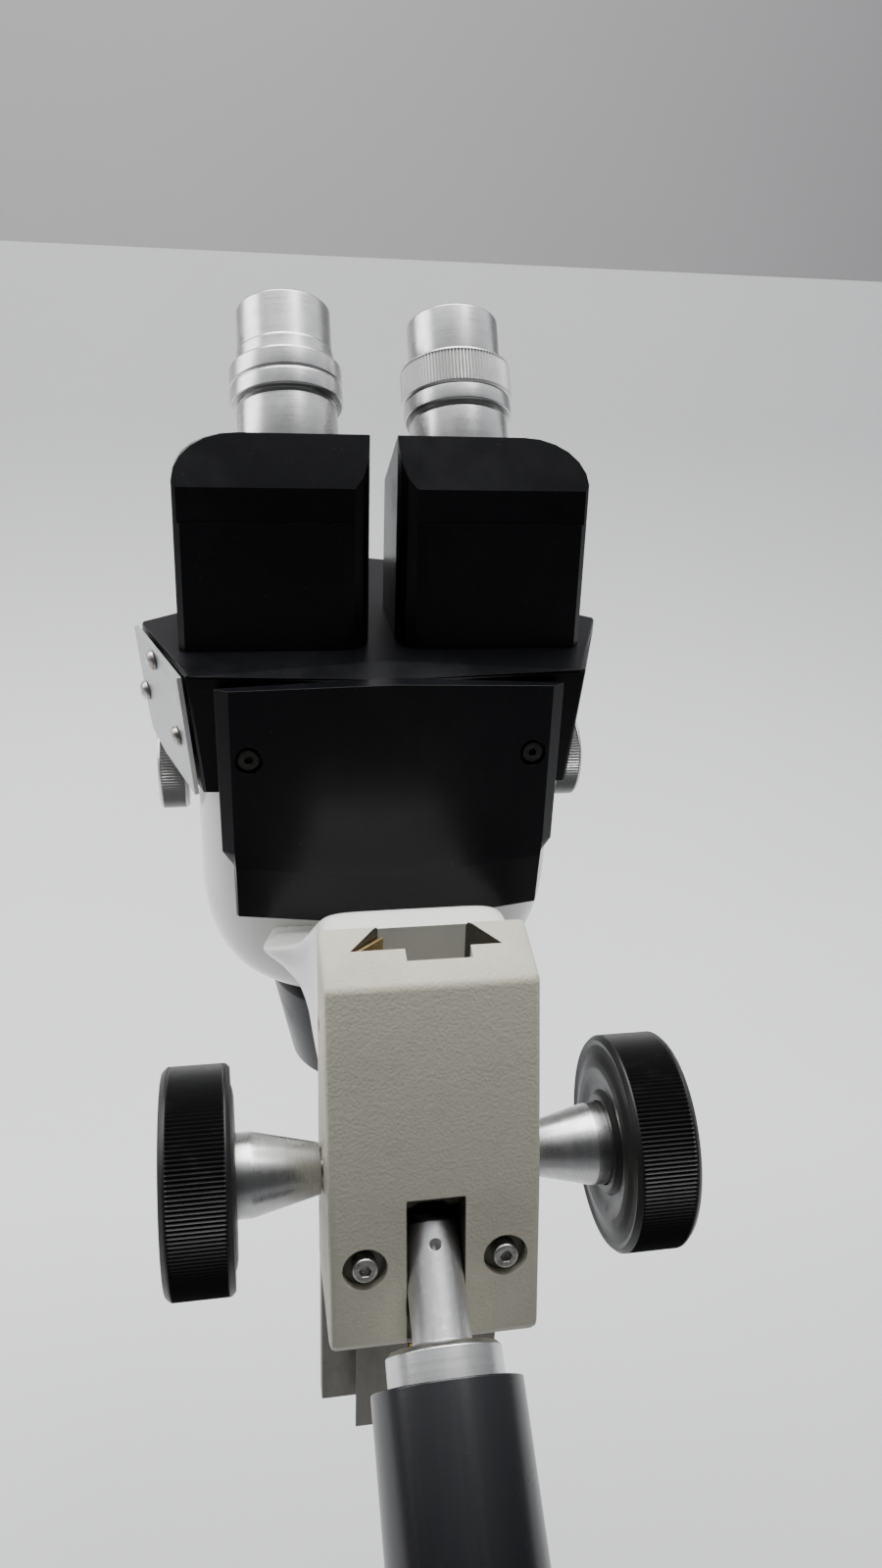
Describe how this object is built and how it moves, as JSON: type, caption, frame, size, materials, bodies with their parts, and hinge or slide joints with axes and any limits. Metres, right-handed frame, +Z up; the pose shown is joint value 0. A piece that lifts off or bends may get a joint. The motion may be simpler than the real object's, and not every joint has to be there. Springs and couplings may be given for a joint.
{
  "type": "stereo microscope head on focus arm",
  "caption": "Stereo zoom microscope head with twin angled eyepieces on a dovetail focus block, hung from a short inclined pin arm.",
  "frame": {"origin": "centre of the arm's outer end face, where the stand holds it", "axes": "+Z up along the optical axis, +Y from the arm towards the operator, +X to the operator's left"},
  "size_m": [0.1581, 0.3485, 0.3672],
  "materials": {
    "black_satin_paint": "satin",
    "white_gloss_enamel": "gloss",
    "cream_wrinkle_paint": "textured",
    "turned_aluminium": "turned",
    "dark_steel": "oiled",
    "grey_plate": "satin",
    "black_anodised": "satin",
    "black_phenolic": "satin",
    "brass": "machined",
    "coated_glass": "coated"
  },
  "bodies": {
    "arm": {"arm_tube": "black_anodised", "arm_end_plug": "turned_aluminium", "mounting_pin": "turned_aluminium"},
    "focus_block": {"focus_block": "cream_wrinkle_paint", "clamp_yoke": "dark_steel", "clamp_screw_right": "dark_steel", "clamp_screw_left": "dark_steel", "clamp_washer_right": "dark_steel", "clamp_washer_left": "dark_steel", "shaft_bush_right": "brass", "shaft_bush_left": "brass", "gib_strip": "brass", "gib_screw_upper": "dark_steel", "gib_screw_lower": "dark_steel"},
    "focus_shaft": {"pinion_shaft": "dark_steel", "focus_hub_right": "turned_aluminium", "focus_hub_left": "turned_aluminium", "focus_knob_right": "black_phenolic", "focus_knob_left": "black_phenolic", "hub_screw_right": "dark_steel", "hub_screw_left": "dark_steel"},
    "head": {"slide_plate": "dark_steel", "dovetail_bar": "dark_steel", "focus_rack": "brass", "pod_body": "white_gloss_enamel", "head_base": "black_satin_paint", "rear_cover": "black_satin_paint", "cover_screw_right": "dark_steel", "cover_screw_left": "dark_steel", "side_plate": "grey_plate", "side_screw_1": "turned_aluminium", "side_screw_2": "turned_aluminium", "side_screw_3": "turned_aluminium", "objective_skirt": "black_satin_paint", "objective_carrier": "dark_steel", "objective_lens_right": "coated_glass", "objective_lens_left": "coated_glass", "guide_rod_right": "turned_aluminium", "guide_rod_left": "turned_aluminium"},
    "zoom_shaft": {"zoom_shaft": "dark_steel", "zoom_knob_right": "turned_aluminium", "zoom_knob_left": "turned_aluminium"},
    "zoom_carriage": {"zoom_carriage": "turned_aluminium", "zoom_lens_right": "coated_glass", "zoom_lens_left": "coated_glass"},
    "right_housing": {"prism_housing_right": "black_satin_paint", "prism_right": "coated_glass", "eyepiece_tube_right": "turned_aluminium", "swivel_ring_right": "dark_steel"},
    "left_housing": {"prism_housing_left": "black_satin_paint", "prism_left": "coated_glass", "eyepiece_tube_left": "turned_aluminium", "swivel_ring_left": "dark_steel"},
    "right_eyepiece": {"eyepiece_right": "turned_aluminium", "eye_lens_right": "coated_glass"},
    "left_eyepiece": {"eyepiece_left": "turned_aluminium", "eye_lens_left": "coated_glass"},
    "left_dioptre": {"dioptre_ring": "turned_aluminium"}
  },
  "joints": [
    {"name": "block_swivel", "type": "hinge", "parent": "arm", "child": "focus_block", "pos_m": [0, 0.12027, 0.08964], "axis": [0, 0.8018, 0.5976], "range_deg": [-90, 90]},
    {"name": "focus_travel", "type": "slide", "parent": "focus_block", "child": "head", "axis": [0, 0, 1], "range_m": [-0.008, 0.06]},
    {"name": "focus_turn", "type": "hinge", "parent": "focus_block", "child": "focus_shaft", "pos_m": [0, 0.15447, 0.11884], "axis": [1, 0, 0], "range_deg": [-90, 585]},
    {"name": "zoom_turn", "type": "hinge", "parent": "head", "child": "zoom_shaft", "pos_m": [0, 0.28197, 0.19474], "axis": [1, 0, 0], "range_deg": [-135, 135]},
    {"name": "zoom_travel", "type": "slide", "parent": "head", "child": "zoom_carriage", "axis": [0, 0, 1], "range_m": [-0.0115, 0.0115]},
    {"name": "right_housing_swivel", "type": "hinge", "parent": "head", "child": "right_housing", "pos_m": [-0.038, 0.27497, 0.24755], "axis": [0, -0.1736, 0.9848], "range_deg": [-7, 7]},
    {"name": "left_housing_swivel", "type": "hinge", "parent": "head", "child": "left_housing", "pos_m": [0.038, 0.27497, 0.24755], "axis": [0, -0.1736, 0.9848], "range_deg": [-7.5, 7.5]},
    {"name": "right_eyepiece_pull", "type": "slide", "parent": "right_housing", "child": "right_eyepiece", "axis": [0, 0.4909, 0.8712], "range_m": [0, 0.02]},
    {"name": "left_dioptre_turn", "type": "hinge", "parent": "left_housing", "child": "left_dioptre", "pos_m": [0.0284, 0.27947, 0.29904], "axis": [0, 0.4909, 0.8712], "range_deg": [-120, 120]},
    {"name": "left_eyepiece_lift", "type": "slide", "parent": "left_housing", "child": "left_eyepiece", "axis": [0, 0.4909, 0.8712], "range_m": [-0.001, 0.001]}
  ],
  "couplings": [
    {"joint": "focus_turn", "follows": "focus_travel", "rad_per_m": 166.67},
    {"joint": "zoom_turn", "follows": "zoom_travel", "rad_per_m": 200},
    {"joint": "left_housing_swivel", "follows": "right_housing_swivel", "ratio": -1},
    {"joint": "left_dioptre_turn", "follows": "left_eyepiece_lift", "rad_per_m": 2083.3}
  ]
}
